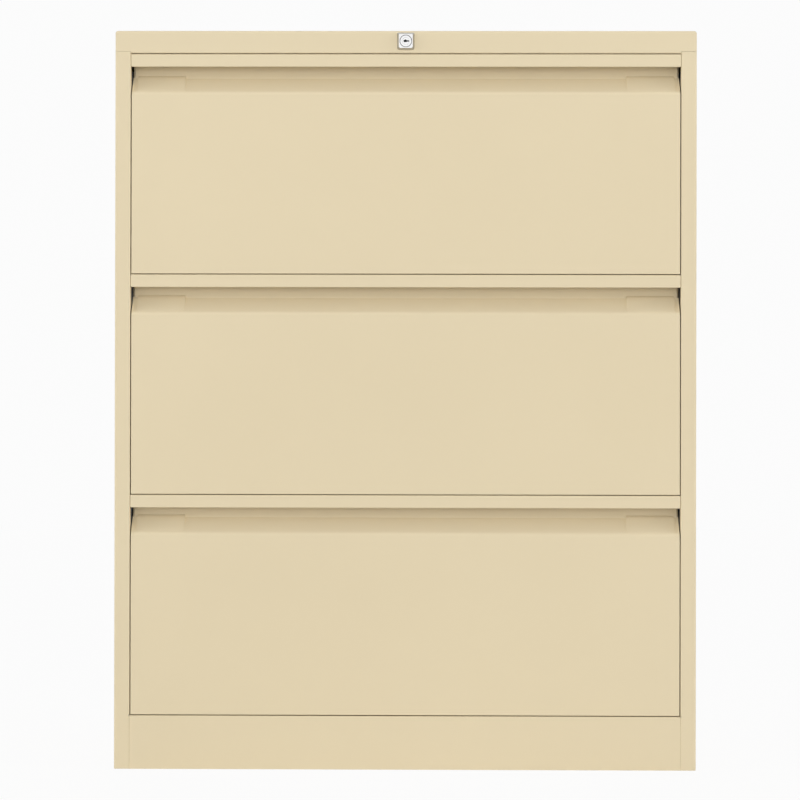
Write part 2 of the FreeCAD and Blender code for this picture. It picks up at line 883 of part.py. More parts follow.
def make_slides(drawer):
    outer = make_slide_member(f"drawer_{drawer}_slide_outers", drawer, "0", "outer_reach", "slide_half", True)
    sink = [
        ("0", "0"),
        ("0", "screw_head_radius"),
        ("slide_sheet", "screw_radius"),
        ("slide_sheet", "0"),
    ]
    for back in ("screw_front", "screw_rear"):
        start = ("post_face - slide_sheet", back, "0")
        turned(outer, back + "_sink", "XY", "H_Axis", start, sink, kind="Groove")
    both_sides(outer)
    middle = make_slide_member(
        f"drawer_{drawer}_slide_middles", drawer, "middle_start", "middle_reach", "middle_half", True
    )
    both_sides(middle)
    inner = make_slide_member(
        f"drawer_{drawer}_slide_inners", drawer, "inner_start", "inner_reach", "inner_half", False
    )
    both_sides(inner)


def make_cages(drawer, stage):
    body = piece(f"drawer_{drawer}_{stage}_cages", height=f"{drawer_top(drawer)} - slide_drop")
    start = f"{stage}_cage_start"
    reach = f"{stage}_cage_reach"
    middle = f"{stage}_ball_height"
    inward = f"{stage}_ball_place"
    radius = f"{stage}_ball_radius"
    half = f"{middle} + cage_strip / 2"
    strip = [
        (reach, half),
        (start, half),
        (start, f"-({half})"),
        (reach, f"-({half})"),
        (reach, f"-({half}) + cage_strip"),
        (f"{start} + cage_sheet", f"-({half}) + cage_strip"),
        (f"{start} + cage_sheet", f"{half} - cage_strip"),
        (reach, f"{half} - cage_strip"),
    ]
    strip = [(f"post_face - ({inwards})", up) for inwards, up in strip]
    plate(body, "strip", "XZ", "cage_front", "cage_front + cage_length", strip)
    backs = [f"cage_front + cage_length / 2 + {step} * ball_pitch" for step in (-2, -1, 0, 1, 2)]
    across = f"post_face - {inward}"
    holes = [(across, back, f"{radius} + ball_room") for back in backs]
    cut(body, "ball_holes", "XY", f"-({half}) - 1", f"{half} + 1", *holes)
    for row, side in (("upper", ""), ("lower", "-")):
        for index, back in enumerate(backs, start=1):
            ball = body.newObject("PartDesign::AdditiveSphere", f"{row}_ball_{index}")
            ball.AttachmentSupport = [(origin_plane(body, "XY_Plane"), "")]
            ball.MapMode = "FlatFace"
            ball.setExpression("Radius", bound(radius))
            ball.setExpression("AttachmentOffset.Base.x", bound(across))
            ball.setExpression("AttachmentOffset.Base.y", bound(back))
            ball.setExpression("AttachmentOffset.Base.z", bound(side + middle))
            settle(body, ball)
    both_sides(body)


# Drawer pieces, counted from the drawer's top edge
def make_front(drawer):
    body = piece(f"drawer_{drawer}_front", height=drawer_top(drawer))
    steel = "drawer_sheet"
    bottom = "-front_height"
    fold = [
        ("front_flange", bottom),
        ("0", bottom),
        ("0", f"-{slope_start}"),
        ("recess_depth", "-recess_drop"),
        ("recess_depth", f"-{steel}"),
        (steel, f"-{steel}"),
        (steel, "-lip_drop"),
        ("0", "-lip_drop"),
        ("0", "0"),
        (recess_back, "0"),
        (recess_back, f"-recess_drop - {slope_offset}"),
        (steel, f"-{slope_start} - {slope_offset}"),
        (steel, f"{bottom} + {steel}"),
        ("front_flange", f"{bottom} + {steel}"),
    ]
    half = "front_width / 2"
    plate(body, "fold", "YZ", f"-{half}", half, fold)
    for name, side in (("left_recess_end", "-"), ("right_recess_end", "")):
        inner, outer = f"{side}({half} - recess_inset)", f"{side}({half} + 2)"
        low, high = (outer, inner) if side else (inner, outer)
        end = rectangle("3 * drawer_sheet", "-recess_drop + 1", f"{recess_back} + 1", "1")
        cut(body, name, "YZ", low, high, end)
    lip = rectangle("0", "-lip_drop", steel, "0")
    plate(body, "lip", "YZ", "-lip_width / 2", "lip_width / 2", lip)
    hem = rectangle(steel, "-lip_drop", f"2 * {steel}", "-lip_drop + lip_hem")
    plate(body, "lip_hem_fold", "YZ", "-lip_width / 2", "lip_width / 2", hem)
    corners = [dict(x=side + "lip_width / 2", z="-lip_drop") for side in ("-", "")]
    rounded(body, "lip_corners", "lip_corner", *corners)
    side = rectangle(f"{half} - {steel}", steel, half, "front_flange")
    flange_top = f"-{slope_start} - slope_bend"
    plate(body, "side_flanges", "XY", f"{bottom} + {steel}", flange_top, side, flipped(side))
    rounded(body, "lip_outer_bend", "lip_bend", dict(y="0", z="0"))
    rounded(body, "lip_inner_bend", f"lip_bend - {steel}", dict(y=steel, z=f"-{steel}"))
    rounded(body, "lip_edge", f"{steel} * 0.9", dict(y="0", z="-lip_drop"))
    rounded(body, "slope_outer_bend", "slope_bend", dict(y="0", z=f"-{slope_start}"))
    inner_bend = dict(y=steel, z=f"-{slope_start} - {slope_offset}")
    rounded(body, "slope_inner_bend", f"slope_bend - {steel}", inner_bend)
    rounded(body, "bottom_bend", "front_edge", dict(y="0", z=bottom))
    sides = [dict(x=f"-{half}", y="0"), dict(x=half, y="0")]
    rounded(body, "side_bends", "front_edge", *sides)


def make_handle_plates(drawer):
    body = piece(f"drawer_{drawer}_handle_plates", height=drawer_top(drawer))
    thick = "handle_plate_thick"
    edge = "handle_plate_edge"
    run = "slope_bend * tan(slope_angle * 0.5deg)"
    low_y = f"{run} * sin(slope_angle * 1deg)"
    low_z = f"-{slope_start} + {run} * cos(slope_angle * 1deg)"
    outline = [
        (low_y, low_z),
        ("recess_depth", "-recess_drop"),
        ("recess_depth", f"-recess_drop + {thick} / sin(slope_angle * 1deg)"),
        (
            f"{low_y} - {edge} * cos(slope_angle * 1deg)",
            f"{low_z} + {edge} * sin(slope_angle * 1deg)",
        ),
    ]
    outer = "front_width / 2 - handle_plate_inset"
    plate(body, "end_plate", "YZ", f"{outer} - handle_plate_width", outer, outline)
    both_sides(body)


def make_liner(drawer):
    body = piece(f"drawer_{drawer}_liner", height=drawer_top(drawer))
    low = "-front_height + drawer_sheet"
    outline = [
        ("liner_back", "0"),
        (recess_back, "0"),
        (recess_back, "-recess_drop - 4"),
        ("front_flange / 2", f"-{slope_start} - slope_bend"),
        ("front_flange / 2", low),
        ("liner_back", low),
    ]
    half = "front_width / 2 - drawer_sheet - 0.05"
    plate(body, "block", "YZ", f"-({half})", half, outline)
    hollowed(body, "skin", "drawer_sheet", lambda face: face.normalAt(0, 0).y < -0.1)


def make_tray(drawer):
    top = "-tray_drop"
    floor = f"{top} - tray_height"
    wrap = piece(f"drawer_{drawer}_tray_wrap", height=drawer_top(drawer))
    section = [
        ("-tray_half + tray_hem", top),
        ("-tray_half", top),
        ("-tray_half", floor),
        ("tray_half", floor),
        ("tray_half", top),
        ("tray_half - tray_hem", top),
        ("tray_half - tray_hem", f"{top} - drawer_sheet"),
        ("tray_half - drawer_sheet", f"{top} - drawer_sheet"),
        ("tray_half - drawer_sheet", f"{floor} + drawer_sheet"),
        ("-tray_half + drawer_sheet", f"{floor} + drawer_sheet"),
        ("-tray_half + drawer_sheet", f"{top} - drawer_sheet"),
        ("-tray_half + tray_hem", f"{top} - drawer_sheet"),
    ]
    plate(wrap, "sheet", "XZ", "liner_back", "tray_back", section)
    ends = piece(f"drawer_{drawer}_tray_ends", height=drawer_top(drawer))
    half = "(tray_half - drawer_sheet)"
    hem_half = "(tray_half - tray_hem)"
    for name, outside, inwards in (("front", "liner_back", "+"), ("rear", "tray_back", "-")):
        inside = f"{outside} {inwards} drawer_sheet"
        hem_edge = f"{outside} {inwards} tray_hem"
        low, high = (outside, inside) if inwards == "+" else (inside, outside)
        wall = rectangle(f"-{half}", f"{floor} + drawer_sheet", half, f"{top} - drawer_sheet")
        plate(ends, name + "_wall", "XZ", low, high, wall)
        low, high = (outside, hem_edge) if inwards == "+" else (hem_edge, outside)
        hem = rectangle(f"-{hem_half}", low, hem_half, high)
        plate(ends, name + "_hem", "XY", f"{top} - drawer_sheet", top, hem)
    fastened(f"drawer_{drawer}_tray", wrap, ends)


def make_file_rails(drawer):
    body = piece(f"drawer_{drawer}_file_rails", height=drawer_top(drawer))
    middle = "(liner_back + tray_back) / 2"
    top = "-tray_drop - drawer_sheet"
    low = f"{top} - rail_height"
    half = "tray_half - drawer_sheet"
    front_wall = "liner_back + drawer_sheet"
    rear_wall = "tray_back - drawer_sheet"
    front = f"{middle} - rail_spacing / 2"
    rear = f"{middle} + rail_spacing / 2"
    ledge = f"{low} + rail_thick"
    front_rail = [
        (front_wall, low),
        (front, low),
        (front, top),
        (f"{front} - rail_thick", top),
        (f"{front} - rail_thick", ledge),
        (front_wall, ledge),
    ]
    rear_rail = [
        (rear_wall, low),
        (rear, low),
        (rear, top),
        (f"{rear} + rail_thick", top),
        (f"{rear} + rail_thick", ledge),
        (rear_wall, ledge),
    ]
    plate(body, "rails", "YZ", f"-({half})", half, front_rail, rear_rail)


def make_catch(drawer):
    body = piece(f"drawer_{drawer}_catch", height=drawer_top(drawer))
    face = "-catch_face"
    inner = "-catch_face + catch_sheet"
    base = "-tray_half - catch_sheet"
    fold = [
        ("-tray_half", "catch_back"),
        ("-tray_half", "catch_step - catch_sheet"),
        (inner, "catch_step - catch_sheet"),
        (inner, "catch_front"),
        (face, "catch_front"),
        (face, "catch_step"),
        (base, "catch_step"),
        (base, "catch_back"),
    ]
    low = "-catch_drop - 5"
    plate(body, "bracket", "XY", low, "-catch_drop + 12", fold)
    notch = rectangle(
        f"{catch_y} - catch_notch_half",
        f"{low} - 1",
        f"{catch_y} + catch_notch_half",
        "-catch_drop + catch_pin_radius + 0.5",
    )
    cut(body, "notch", "YZ", f"{face} - 1", f"{inner} + 1", notch)


make_lid()
make_sides()
make_back()
make_rivets()
make_base()
make_plinth()
make_posts()
make_slide_screws()
make_buffers()
make_foot_brackets()
make_foot_nuts()
make_lock_rail()
make_lock_housing()
make_lock_nut()
make_lock_plug()
make_lock_cam()
make_transfer_bar()
make_bell_crank()
make_crank_pivot()
make_lock_bar()
make_bar_guides()
for side, across in (("left", "-foot_place"), ("right", "foot_place")):
    make_foot(f"front_{side}_leveller", across, "foot_inset")
    make_foot(f"rear_{side}_leveller", across, foot_back)
for drawer in (1, 2, 3):
    make_slides(drawer)
    make_cages(drawer, "outer")
    make_cages(drawer, "inner")
    make_front(drawer)
    make_handle_plates(drawer)
    make_liner(drawer)
    make_tray(drawer)
    make_file_rails(drawer)
    make_catch(drawer)
document.recompute()

for item in document.Objects:
    if "Invalid" in item.State or "Error" in item.State:
        raise ValueError(f"{item.Label} failed: {item.State}")
for item in pieces:
    if item.Shape.isNull() or not item.Shape.isValid() or not item.Shape.Solids:
        raise ValueError(f"{item.Label} has no sound shape")

os.makedirs("parts", exist_ok=True)
for item in pieces:
    item.Shape.exportStep(f"parts/{item.Label}.step")
print(len(pieces), "pieces written")
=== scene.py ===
import json
import math

import bmesh
import bpy
from mathutils import Matrix, Vector


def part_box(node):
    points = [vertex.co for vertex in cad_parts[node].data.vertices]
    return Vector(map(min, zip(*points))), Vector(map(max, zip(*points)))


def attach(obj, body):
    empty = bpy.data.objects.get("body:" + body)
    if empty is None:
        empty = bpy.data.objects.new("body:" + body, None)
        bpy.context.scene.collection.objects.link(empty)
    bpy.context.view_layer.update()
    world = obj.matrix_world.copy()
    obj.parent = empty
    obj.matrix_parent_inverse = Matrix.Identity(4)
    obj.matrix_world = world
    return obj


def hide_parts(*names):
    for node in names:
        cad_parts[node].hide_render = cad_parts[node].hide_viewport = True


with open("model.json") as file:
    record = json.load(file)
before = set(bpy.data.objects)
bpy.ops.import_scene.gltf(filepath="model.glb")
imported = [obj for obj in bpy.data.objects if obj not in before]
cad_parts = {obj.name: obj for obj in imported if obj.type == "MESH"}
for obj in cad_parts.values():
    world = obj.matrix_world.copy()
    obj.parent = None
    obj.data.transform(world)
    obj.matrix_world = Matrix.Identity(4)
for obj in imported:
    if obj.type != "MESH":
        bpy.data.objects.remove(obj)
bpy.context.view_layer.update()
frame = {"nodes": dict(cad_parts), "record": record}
nodes = frame["nodes"]
record = frame["record"]
bodyOf = {node: body for body, members in record["behaviour"]["bodies"].items() for node in members}
slotOf = {row["node"]: row["material_slot"] for row in record["subparts"]}
drawers = (1, 2, 3)
print("frame loaded with", len(nodes), "nodes")

# Camera and light
camera = {
    "place": (0.055, -4.733, 0.490),
    "turn": (90.23, -0.11, 0.79),  # degrees
    "lens": 147.3,  # millimetres, as the sensor's width is
    "sensor": 36,
    "farthest": 60,  # metres, past which nothing is drawn
}
studio = {
    "skyLight": 0.2,
    "backdrop": 0.97,
    # Each soft lamp far away: the light that it gives a surface square to it, and in degrees
    # the side that it stands on, its height above the horizon and its width
    "lamps": {
        "keyLamp": (0.22, 0, 28, 13),
        "faceLamp": (0.27, 0, 4, 26),
        "leftFrontLamp": (0.285, -72, 12, 30),
        "rightFrontLamp": (0.285, 72, 12, 30),
        "leftLamp": (0.12, -100, 16, 36),
        "rightLamp": (0.12, 100, 16, 36),
        "backLamp": (0.40, 180, 16, 36),
        "topLamp": (0.12, 0, 85, 30),
    },
    "floorHalf": 9.0,
    "floorShade": 0.75,
    "floorWhite": 0.93,  # share of plain white that the camera sees in the floor
}


def makeCamera():
    data = bpy.data.cameras.new("camera")
    data.lens = camera["lens"]
    data.sensor_width = camera["sensor"]
    data.clip_end = camera["farthest"]
    eye = bpy.data.objects.new("camera", data)
    eye.location = camera["place"]
    eye.rotation_euler = [math.radians(turn) for turn in camera["turn"]]
    bpy.context.scene.collection.objects.link(eye)
    bpy.context.scene.camera = eye
    bpy.context.scene.view_settings.view_transform = "Standard"


def addNode(tree, kind, inputs=None, **settings):
    node = tree.nodes.new(kind)
    for name, value in settings.items():
        setattr(node, name, value)
    for name, value in (inputs or {}).items():
        if isinstance(value, bpy.types.NodeSocket):
            tree.links.new(value, node.inputs[name])
        else:
            node.inputs[name].default_value = value
    return node


def seenDirectly(tree):
    path = addNode(tree, "ShaderNodeLightPath")
    glossy = addNode(
        tree,
        "ShaderNodeMath",
        {0: path.outputs["Is Camera Ray"], 1: path.outputs["Is Glossy Ray"]},
        operation="MAXIMUM",
    )
    return addNode(
        tree,
        "ShaderNodeMath",
        {0: glossy.outputs[0], 1: path.outputs["Is Transmission Ray"]},
        operation="MAXIMUM",
    ).outputs[0]


def makeStudio():
    world = bpy.data.worlds.new("studio")
    world.use_nodes = True
    tree = world.node_tree
    tree.nodes.clear()
    white = (1, 1, 1, 1)
    sky = addNode(tree, "ShaderNodeBackground", {"Color": white, "Strength": studio["skyLight"]})
    backdrop = addNode(tree, "ShaderNodeBackground", {"Color": white, "Strength": studio["backdrop"]})
    mixed = addNode(
        tree,
        "ShaderNodeMixShader",
        {0: seenDirectly(tree), 1: sky.outputs[0], 2: backdrop.outputs[0]},
    )
    addNode(tree, "ShaderNodeOutputWorld", {"Surface": mixed.outputs[0]})
    bpy.context.scene.world = world
    for name, (light, side, height, wide) in studio["lamps"].items():
        lamp = bpy.data.lights.new(name, "SUN")
        lamp.energy = light * math.pi
        lamp.angle = math.radians(wide)
        stand = bpy.data.objects.new(name, lamp)
        stand.rotation_euler = (math.radians(90 - height), 0, math.radians(side))
        stand.visible_glossy = False  # metal shows the white studio, not the lamps
        bpy.context.scene.collection.objects.link(stand)


def makeFloor():
    build = bmesh.new()
    bmesh.ops.create_grid(build, x_segments=1, y_segments=1, size=studio["floorHalf"])
    mesh = bpy.data.meshes.new("floor")
    build.to_mesh(mesh)
    build.free()
    floor = bpy.data.objects.new("floor", mesh)
    bpy.context.scene.collection.objects.link(floor)
    material = bpy.data.materials.new("paleFloor")
    material.use_nodes = True
    tree = material.node_tree
    tree.nodes.clear()
    shade = studio["floorShade"]
    matt = addNode(tree, "ShaderNodeBsdfDiffuse", {"Color": (shade, shade, shade, 1)})
    white = addNode(tree, "ShaderNodeEmission", {"Strength": 1.0})
    share = addNode(
        tree,
        "ShaderNodeMath",
        {0: seenDirectly(tree), 1: studio["floorWhite"]},
        operation="MULTIPLY",
    )
    mixed = addNode(
        tree,
        "ShaderNodeMixShader",
        {0: share.outputs[0], 1: matt.outputs[0], 2: white.outputs[0]},
    )
    addNode(tree, "ShaderNodeOutputMaterial", {"Surface": mixed.outputs[0]})
    mesh.materials.append(material)


makeCamera()
makeStudio()
makeFloor()
print("camera, light and floor made")


# Finishes: colours are written as a paint card shows them, 0 to 255
def tone(red, green, blue):
    card = [part / 255 for part in (red, green, blue)]
    return [((part + 0.055) / 1.055) ** 2.4 for part in card] + [1]  # the sRGB curve


# Each pattern is its scale, in cells to the metre, and its detail, in rounds of finer noise
paint = {
    "light": tone(229, 214, 181),
    "deep": tone(226, 211, 178),
    "cloud": (2.4, 4),
    "patch": (7.2, 3),
    "peel": (260, 1),
    "grain": (1100, 2),
    "peelHeight": 0.00002,
    "grainHeight": 0.000012,
    "roughLow": 0.42,
    "roughHigh": 0.50,
    "specular": 0.4,
}
zinc = {
    "light": tone(196, 199, 203),
    "deep": tone(176, 180, 186),
    "cloud": (14, 5),
    "patch": (32.2, 4),
    "lines": (900, 2),
    "lineStretch": (1, 0.03, 1),  # draws the lines out from front to back
    "lineHeight": 0.000008,
    "roughLow": 0.30,
    "roughHigh": 0.44,
}
chrome = {
    "shine": tone(248, 248, 248),
    "roughLow": 0.06,
    "roughHigh": 0.14,
    "polish": (1600, 3),
}
# Rougher chrome for the lock housing's sides; its darker tone is a painted dark reflection
satinShadedChrome = {
    "shine": tone(188, 186, 182),
    "roughLow": 0.24,
    "roughHigh": 0.36,
    "polish": (900, 3),
}
rubber = {
    "light": tone(46, 46, 47),
    "deep": tone(32, 32, 33),
    "grain": (1400, 3),
    "grainHeight": 0.00004,
    "rough": 0.78,
}
# Near-black painted shade, put in the lock's keyway and deep ring where there is only shade, mottled by
# noise
paintedShadeTones = {
    "light": tone(30, 30, 32),
    "deep": tone(14, 14, 15),
    "shadeMottle": (2200, 2),
    "rough": 0.7,
}
noiseSpan = {"low": 0.3, "high": 0.7}  # nearly all of a noise pattern lies between these


def startMaterial(name):
    material = bpy.data.materials.new(name)
    material.use_nodes = True
    tree = material.node_tree
    shader = tree.nodes["Principled BSDF"]
    place = addNode(tree, "ShaderNodeTexCoord").outputs["Object"]
    return material, tree, shader, place


def noise(tree, place, pattern, stretch=None):
    scale, detail = pattern
    if stretch:
        place = addNode(tree, "ShaderNodeMapping", {"Vector": place, "Scale": stretch}).outputs[0]
    made = addNode(tree, "ShaderNodeTexNoise", {"Vector": place, "Scale": scale, "Detail": detail})
    return made.outputs["Fac"]


def between(tree, factor, low, high):
    limits = {
        "Value": factor,
        "From Min": noiseSpan["low"],
        "From Max": noiseSpan["high"],
        "To Min": low,
        "To Max": high,
    }
    return addNode(tree, "ShaderNodeMapRange", limits).outputs[0]


def twoTones(tree, shader, factor, finish):
    # A Mix node holds its colours in inputs 6 and 7 and output 2
    colours = {"Factor": between(tree, factor, 0, 1), 6: finish["deep"], 7: finish["light"]}
    made = addNode(tree, "ShaderNodeMix", colours, data_type="RGBA")
    tree.links.new(made.outputs[2], shader.inputs["Base Color"])


def roughen(tree, shader, factor, finish):
    rough = between(tree, factor, finish["roughLow"], finish["roughHigh"])
    tree.links.new(rough, shader.inputs["Roughness"])


def relief(tree, shader, *layers):
    normal = None
    for height, distance in layers:
        made = addNode(tree, "ShaderNodeBump", {"Height": height, "Distance": distance, "Strength": 1.0})
        if normal:
            tree.links.new(normal, made.inputs["Normal"])
        normal = made.outputs[0]
    tree.links.new(normal, shader.inputs["Normal"])


def creamPaint():
    material, tree, shader, place = startMaterial("creamPaint")
    twoTones(tree, shader, noise(tree, place, paint["cloud"]), paint)
    roughen(tree, shader, noise(tree, place, paint["patch"]), paint)
    peel = noise(tree, place, paint["peel"])
    grain = noise(tree, place, paint["grain"])
    relief(tree, shader, (peel, paint["peelHeight"]), (grain, paint["grainHeight"]))
    shader.inputs["Specular IOR Level"].default_value = paint["specular"]
    return material


def zincPlate():
    material, tree, shader, place = startMaterial("zincPlate")
    twoTones(tree, shader, noise(tree, place, zinc["cloud"]), zinc)
    roughen(tree, shader, noise(tree, place, zinc["patch"]), zinc)
    lines = noise(tree, place, zinc["lines"], zinc["lineStretch"])
    relief(tree, shader, (lines, zinc["lineHeight"]))
    shader.inputs["Metallic"].default_value = 1
    return material


def chromePlate(name, plate):
    material, tree, shader, place = startMaterial(name)
    shader.inputs["Base Color"].default_value = plate["shine"]
    roughen(tree, shader, noise(tree, place, plate["polish"]), plate)
    shader.inputs["Metallic"].default_value = 1
    return material


def blackRubber():
    material, tree, shader, place = startMaterial("blackRubber")
    grain = noise(tree, place, rubber["grain"])
    twoTones(tree, shader, grain, rubber)
    relief(tree, shader, (grain, rubber["grainHeight"]))
    shader.inputs["Roughness"].default_value = rubber["rough"]
    return material


# Paints the shade deep inside the lock's keyway and ring as a near-black material
def paintedGapShade():
    material, tree, shader, place = startMaterial("paintedGapShade")
    twoTones(tree, shader, noise(tree, place, paintedShadeTones["shadeMottle"]), paintedShadeTones)
    shader.inputs["Roughness"].default_value = paintedShadeTones["rough"]
    return material


gapShade = paintedGapShade()
shadedSatin = chromePlate("satinShadedChrome", satinShadedChrome)
finishes = {
    "cream_paint": creamPaint(),
    "zinc_steel": zincPlate(),
    "lock_chrome": chromePlate("chromePlate", chrome),
    "black_rubber": blackRubber(),
}
print("finishes mixed")

# How the edges of cut and folded sheet are finished, in metres and degrees
edgeFinish = {
    "radius": 0.0002,
    "steps": 2,
    "sharpFrom": 38,
    "flatWithin": 0.4,
    "mergeWithin": 0.000002,
    "levelWithin": 0.00005,
    # The nodes whose bends lie too near to each other for a broken edge, by how their names end
    "keptSharp": ("_front", "top_panel", "_cages"),
}


def copyOf(node):
    build = bmesh.new()
    build.from_mesh(nodes[node].data)
    bmesh.ops.remove_doubles(build, verts=build.verts, dist=edgeFinish["mergeWithin"])
    bmesh.ops.dissolve_limit(
        build,
        angle_limit=math.radians(edgeFinish["flatWithin"]),
        verts=build.verts,
        edges=build.edges,
    )
    return build


def roundEdges(build, edges, radius, steps):
    bmesh.ops.bevel(
        build,
        geom=edges,
        offset=radius,
        offset_type="OFFSET",
        segments=steps,
        profile=0.5,
        affect="EDGES",
        material=-1,
    )


def breakEdges(build):
    sharp = math.radians(edgeFinish["sharpFrom"])
    edges = [edge for edge in build.edges if len(edge.link_faces) == 2 and edge.calc_face_angle() > sharp]
    roundEdges(build, edges, edgeFinish["radius"], edgeFinish["steps"])


def evenShading(build):
    # Each corner's normal is the mean over the faces round it that turn less than a sharp edge, weighted
    # by their area, so flat sheet stays flat up to its bends and the bends shade smoothly
    build.normal_update()
    limit = math.cos(math.radians(edgeFinish["sharpFrom"]))
    areas = {face: face.calc_area() for face in build.faces}
    normals = []
    for face in build.faces:
        for vert in face.verts:
            total = Vector((0, 0, 0))
            for near in vert.link_faces:
                if near.normal.dot(face.normal) > limit:
                    total += near.normal * areas[near]
            normals.append(total.normalized() if total.length else face.normal.copy())
    return normals


def finishPiece(build, name, node, *others):
    # The piece stands for one CAD node, and takes its body and the finish of its slot
    body, slot = bodyOf[node], slotOf[node]
    normals = evenShading(build)
    mesh = bpy.data.meshes.new(name)
    build.to_mesh(mesh)
    build.free()
    mesh.shade_smooth()
    mesh.normals_split_custom_set(normals)
    for material in (finishes[slot], *others):
        mesh.materials.append(material)
    piece = bpy.data.objects.new(name, mesh)
    bpy.context.scene.collection.objects.link(piece)
    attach(piece, body)
    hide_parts(node)


def spinProfile(build, profile, steps):
    # The profile's points are (out from the Y axis, along it)
    verts = [build.verts.new((out, along, 0)) for out, along in profile]
    edges = [build.edges.new(pair) for pair in zip(verts, verts[1:])]
    bmesh.ops.spin(
        build,
        geom=verts + edges,
        cent=(0, 0, 0),
        axis=(0, 1, 0),
        angle=2 * math.pi,
        steps=steps,
        use_merge=True,
    )
    bmesh.ops.remove_doubles(build, verts=build.verts, dist=edgeFinish["mergeWithin"])


def closeFlat(build, along):
    # Fills what is open in the plane at this distance along the Y axis
    near = edgeFinish["levelWithin"]
    edges = [
        edge
        for edge in build.edges
        if len(edge.link_faces) < 2 and all(abs(vert.co.y - along) < near for vert in edge.verts)
    ]
    bmesh.ops.triangle_fill(build, edges=edges, normal=(0, -1, 0), use_beauty=True)


def closed(build, place=(0, 0, 0)):
    bmesh.ops.remove_doubles(build, verts=build.verts, dist=edgeFinish["mergeWithin"])
    bmesh.ops.recalc_face_normals(build, faces=build.faces)
    bmesh.ops.translate(build, vec=place, verts=build.verts)


# The lock's square housing: its face narrows towards the front, and a ring parts it from the barrel
housing = {
    "stand": 0.005,
    "half": 0.012,
    "faceHalf": 0.0095,
    "lowCorner": 0.0034,
    "highCorner": 0.0018,
    "cornerSteps": 5,
    "rim": 0.0011,
    "rimSteps": 3,
    "flatWithin": 0.00001,
    "ringOut": 0.0085,
    "ringIn": 0.00802,
    "ringEdge": 0.0003,
    "ringDepth": 0.0022,
    "paintedShadeFrom": 0.0005,  # depth from which the ring's faces take the near-black painted shade
    "margin": 0.0001,  # room on either side when the ring's faces are picked out
    "faceDrop": 0.0001,
    "collar": 0.0054,
    "mouthDepth": 0.0004,
    "barrelOut": 0.008,
    "barrelIn": 0.00495,
    "barrelEnd": 0.026,
    "shadedSatinBelow": 0.8,  # faces that turn to the front less than this take the satin chrome, whose darker tone is a painted dark reflection
    "steps": 48,
}
plug = {
    "radius": 0.0049,
    "rim": 0.0003,
    "faceDrop": 0.0006,
    "shoulder": 0.026,
    "tail": 0.0034,
    "end": 0.031,
    "keyDepth": 0.018,
    # The keyway's outline, across and up
    "keyway": (
        (-0.0029, -0.0015),
        (0.0011, -0.0015),
        (0.0013, -0.0009),
        (0.0046, -0.0009),
        (0.0046, 0.0009),
        (0.0013, 0.0009),
        (0.0009, 0.0015),
        (0.0004, 0.0022),
        (-0.0006, 0.0022),
        (-0.0012, 0.0015),
        (-0.0029, 0.0015),
    ),
    "steps": 48,
}


def squareShell(build):
    turned = Matrix.Rotation(math.radians(90), 4, "X") @ Matrix.Rotation(math.radians(45), 4, "Z")
    bmesh.ops.create_circle(
        build,
        cap_ends=True,
        segments=4,
        radius=housing["half"] * math.sqrt(2),
        matrix=turned,
    )
    corners = list(build.verts)
    for radius, isLow in ((housing["lowCorner"], True), (housing["highCorner"], False)):
        bmesh.ops.bevel(
            build,
            geom=[vert for vert in corners if vert.is_valid and (vert.co.z < 0) == isLow],
            offset=radius,
            offset_type="OFFSET",
            segments=housing["cornerSteps"],
            profile=0.5,
            affect="VERTICES",
            material=-1,
        )
    base = list(build.faces)
    made = bmesh.ops.extrude_face_region(build, geom=base, use_keep_orig=True)["geom"]
    front = [item for item in made if isinstance(item, bmesh.types.BMFace)]
    ahead = [item for item in made if isinstance(item, bmesh.types.BMVert)]
    share = housing["faceHalf"] / housing["half"]
    bmesh.ops.scale(build, vec=(share, 1, share), verts=ahead)
    bmesh.ops.translate(build, vec=(0, -housing["stand"], 0), verts=ahead)
    outline = {edge for face in front for edge in face.edges}
    bmesh.ops.delete(build, geom=base, context="FACES_ONLY")
    roundEdges(build, list(outline), housing["rim"], housing["rimSteps"])
    foremost = min(vert.co.y for vert in build.verts) + housing["flatWithin"]
    flat = [face for face in build.faces if all(vert.co.y < foremost for vert in face.verts)]
    bmesh.ops.delete(build, geom=flat, context="FACES_ONLY")


def makeHousing():
    low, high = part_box("lock_housing")
    place = ((low[0] + high[0]) / 2, low[1] + housing["stand"], (low[2] + high[2]) / 2)
    build = bmesh.new()
    squareShell(build)
    front = -housing["stand"]
    face = front + housing["faceDrop"]
    ringEnd = front + housing["ringDepth"]
    profile = (
        (housing["ringOut"], front),
        (housing["ringOut"], ringEnd),
        (housing["ringIn"], ringEnd),
        (housing["ringIn"], face + housing["ringEdge"]),
        (housing["ringIn"] - housing["ringEdge"], face),
        (housing["collar"], face),
        (housing["barrelIn"], face + housing["mouthDepth"]),
        (housing["barrelIn"], housing["barrelEnd"]),
        (housing["barrelOut"], housing["barrelEnd"]),
        (housing["barrelOut"], 0),
    )
    spinProfile(build, profile, housing["steps"])
    closeFlat(build, front)
    closeFlat(build, 0)
    closed(build)
    margin = housing["margin"]
    for item in build.faces:
        middle = item.calc_center_median()
        out = math.hypot(middle.x, middle.z)
        if housing["ringIn"] - margin < out < housing["ringOut"] + margin:
            # the ring's faces deeper than that take the near-black painted shade
            item.material_index = int(front + housing["paintedShadeFrom"] < middle.y < ringEnd + margin)
        elif out > housing["ringOut"] and abs(item.normal.y) < housing["shadedSatinBelow"]:
            # the housing's sides take the satin chrome, darkened as a painted reflection
            item.material_index = 2
    bmesh.ops.translate(build, vec=place, verts=build.verts)
    finishPiece(build, "lock_housing_cast", "lock_housing", gapShade, shadedSatin)
    return place


